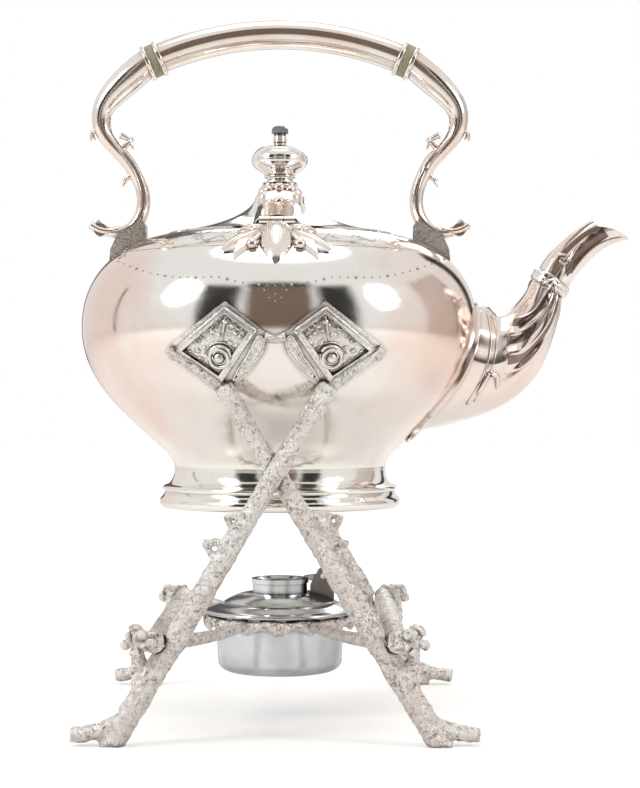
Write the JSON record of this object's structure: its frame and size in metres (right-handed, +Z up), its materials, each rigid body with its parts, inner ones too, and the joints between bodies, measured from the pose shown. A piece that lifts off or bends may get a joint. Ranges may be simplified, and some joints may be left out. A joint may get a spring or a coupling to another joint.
{
  "type": "spirit kettle on stand",
  "caption": "Squat hot-water kettle with fluted spout, overhead handle and hinged lid, lifting out of a crossed-twig stand over a spirit lamp.",
  "frame": {"origin": "on the table, under the middle of the kettle and of the stand", "axes": "+Z up, +X towards the spout, the lid's hinge and the carved fronts of the cradle towards -Y"},
  "size_m": [0.2729, 0.2062, 0.346],
  "materials": {
    "kettle_silver": "polished silver plate, lightly tarnished",
    "stand_silver": "pitted cast silver plate",
    "lamp_metal": "worn plate, bluish grey",
    "pin_metal": "dark turned steel",
    "insulator": "ivory-coloured insulating disc",
    "wick_cotton": "woven cotton"
  },
  "bodies": {
    "stand": {"leg_front_left": "stand_silver", "leg_front_right": "stand_silver", "leg_rear_left": "stand_silver", "leg_rear_right": "stand_silver", "cradle_panel_front_left": "stand_silver", "cradle_panel_front_right": "stand_silver", "cradle_panel_rear_left": "stand_silver", "cradle_panel_rear_right": "stand_silver", "cradle_rosettes": "stand_silver", "bridge_twig_front": "stand_silver", "bridge_twig_rear": "stand_silver", "stretcher_left": "stand_silver", "stretcher_right": "stand_silver", "lamp_ring": "stand_silver"},
    "kettle": {"kettle_body": "kettle_silver", "base_plate": "kettle_silver", "kettle_foot": "kettle_silver", "spout": "kettle_silver", "spout_flange": "kettle_silver", "spout_beak": "kettle_silver", "spout_band": "kettle_silver", "handle_insulator_right": "insulator", "handle_insulator_left": "insulator", "arm_collar_right": "kettle_silver", "arm_collar_left": "kettle_silver", "grip_collar_right": "kettle_silver", "grip_collar_left": "kettle_silver", "handle_pins": "pin_metal", "handle_grip": "kettle_silver", "handle_arm_right": "kettle_silver", "handle_arm_left": "kettle_silver", "handle_socket_right": "kettle_silver", "handle_socket_left": "kettle_silver", "hinge_casting": "kettle_silver", "hinge_pin": "pin_metal"},
    "lid": {"lid": "kettle_silver", "lid_bezel": "kettle_silver", "finial_collar": "kettle_silver", "finial_knob": "kettle_silver", "finial_button": "kettle_silver", "finial_nut": "pin_metal", "hinge_strap": "kettle_silver"},
    "lamp": {"lamp_reservoir": "lamp_metal", "lamp_cover": "lamp_metal"},
    "burner": {"burner_plate": "lamp_metal", "burner_collar": "lamp_metal", "wick_tube": "lamp_metal", "wick": "wick_cotton", "snuffer_hinge": "lamp_metal", "snuffer_pin": "pin_metal"},
    "snuffer": {"snuffer_cap": "lamp_metal"}
  },
  "joints": [
    {"name": "kettle_lift", "type": "slide", "parent": "stand", "child": "kettle", "axis": [0, 0, 1], "range_m": [0, 0.11]},
    {"name": "lid_hinge", "type": "hinge", "parent": "kettle", "child": "lid", "pos_m": [0, -0.0603, 0.2396], "axis": [1, 0, 0], "range_deg": [0, 52]},
    {"name": "lamp_lift", "type": "slide", "parent": "stand", "child": "lamp", "axis": [0, 0, 1], "range_m": [0, 0.045]},
    {"name": "burner_lift", "type": "slide", "parent": "lamp", "child": "burner", "axis": [0, 0, 1], "range_m": [0, 0.025]},
    {"name": "snuffer_hinge", "type": "hinge", "parent": "burner", "child": "snuffer", "pos_m": [0.0215, 0, 0.0685], "axis": [0, 1, 0], "range_deg": [0, 110]}
  ]
}
